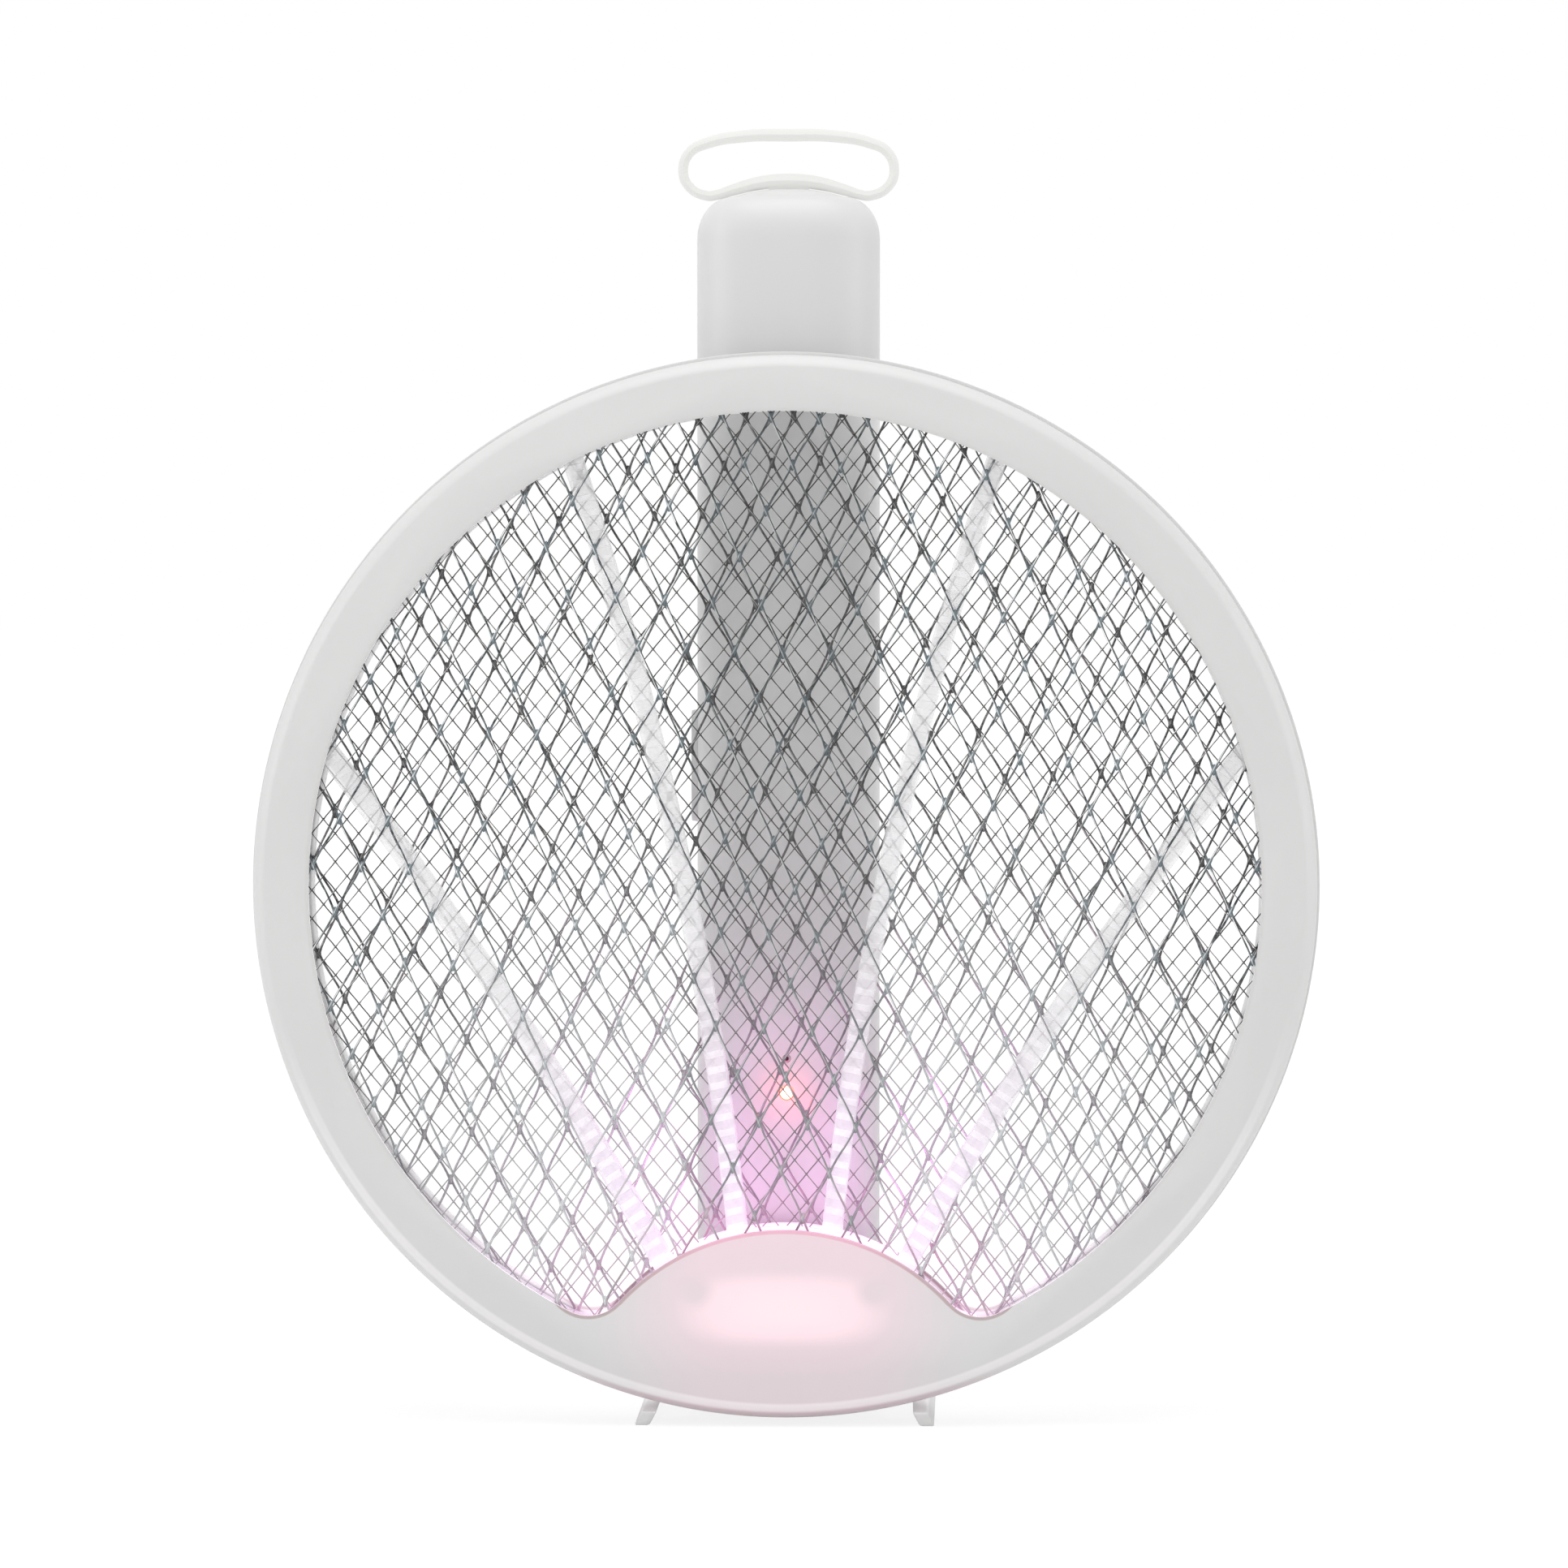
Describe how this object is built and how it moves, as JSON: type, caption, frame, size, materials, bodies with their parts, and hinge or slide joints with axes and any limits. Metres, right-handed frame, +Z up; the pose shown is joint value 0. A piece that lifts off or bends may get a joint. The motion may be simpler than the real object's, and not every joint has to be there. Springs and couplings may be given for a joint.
{
  "type": "folding electric insect trap",
  "caption": "Round electric insect net with an ultraviolet lamp hub, a fold-out battery handle with a hanging loop, and a fold-out leg stand.",
  "frame": {"origin": "on the floor under the middle of the bounding box, with the trap upright on its two feet", "axes": "+X to the viewer's right, +Y from the front guard net towards the folded handle, +Z up"},
  "size_m": [0.2216, 0.051, 0.2695],
  "materials": {
    "white_abs": "satin moulded",
    "handle_abs": "satin moulded",
    "steel_net": "galvanised",
    "clear_acrylic": "clear moulded",
    "silicone": "matte moulded",
    "steel": "plated",
    "circuit_board": "solder mask",
    "uv_lamp": "clear resin, lit",
    "red_lamp": "tinted resin, lit",
    "red_plastic": "dipped resin",
    "battery_wrap": "shrink film",
    "black_plastic": "moulded",
    "grey_plastic": "moulded",
    "copper": "enamelled winding"
  },
  "bodies": {
    "head": {"front_frame": "white_abs", "rear_frame": "white_abs", "frame_screw_1": "steel", "frame_screw_2": "steel", "frame_screw_3": "steel", "frame_screw_4": "steel", "frame_screw_5": "steel", "frame_screw_6": "steel", "front_guard_net": "steel_net", "rear_guard_net": "steel_net", "live_net": "steel_net", "front_clear_grid": "clear_acrylic", "rear_clear_grid": "clear_acrylic", "lamp_board": "circuit_board", "uv_lamp_1": "uv_lamp", "uv_lamp_2": "uv_lamp", "uv_lamp_3": "uv_lamp", "uv_lamp_4": "uv_lamp", "uv_lamp_5": "uv_lamp", "uv_lamp_6": "uv_lamp", "hinge_fork": "white_abs", "fork_screw_1": "steel", "fork_screw_2": "steel", "fork_screw_3": "steel", "fork_screw_4": "steel"},
    "handle": {"hinge_knuckle": "handle_abs", "handle_front_shell": "handle_abs", "handle_rear_shell": "handle_abs", "handle_screw_1": "steel", "handle_screw_2": "steel", "handle_screw_3": "steel", "main_board": "circuit_board", "step_up_transformer": "copper", "film_capacitor_1": "red_plastic", "film_capacitor_2": "red_plastic", "red_lamp": "red_lamp", "charge_lamp": "black_plastic", "usb_socket": "steel", "slide_switch": "black_plastic", "trigger_switch": "black_plastic", "battery_cell": "battery_wrap", "battery_contact_bottom": "steel", "battery_contact_top": "steel", "hanging_loop": "silicone"},
    "stand": {"hinge_pin": "steel", "stand_leg_left": "white_abs", "stand_leg_right": "white_abs", "pin_cap_left": "white_abs", "pin_cap_right": "white_abs"},
    "trigger": {"trigger_button": "handle_abs"},
    "power_knob": {"switch_knob": "grey_plastic"}
  },
  "joints": [
    {"name": "handle_fold", "type": "hinge", "parent": "head", "child": "handle", "pos_m": [0, 0.0095, 0.0188], "axis": [-1, 0, 0], "range_deg": [0, 180]},
    {"name": "stand_fold", "type": "hinge", "parent": "head", "child": "stand", "pos_m": [0, 0.0095, 0.0188], "axis": [1, 0, 0], "range_deg": [0, 180]},
    {"name": "trigger_press", "type": "slide", "parent": "handle", "child": "trigger", "axis": [1, 0, 0], "range_m": [0, 0.0008], "stiffness_N_per_m": 1500, "springref_m": -0.0003},
    {"name": "power_slide", "type": "slide", "parent": "handle", "child": "power_knob", "axis": [0, 0, 1], "range_m": [-0.0035, 0.0035]}
  ]
}
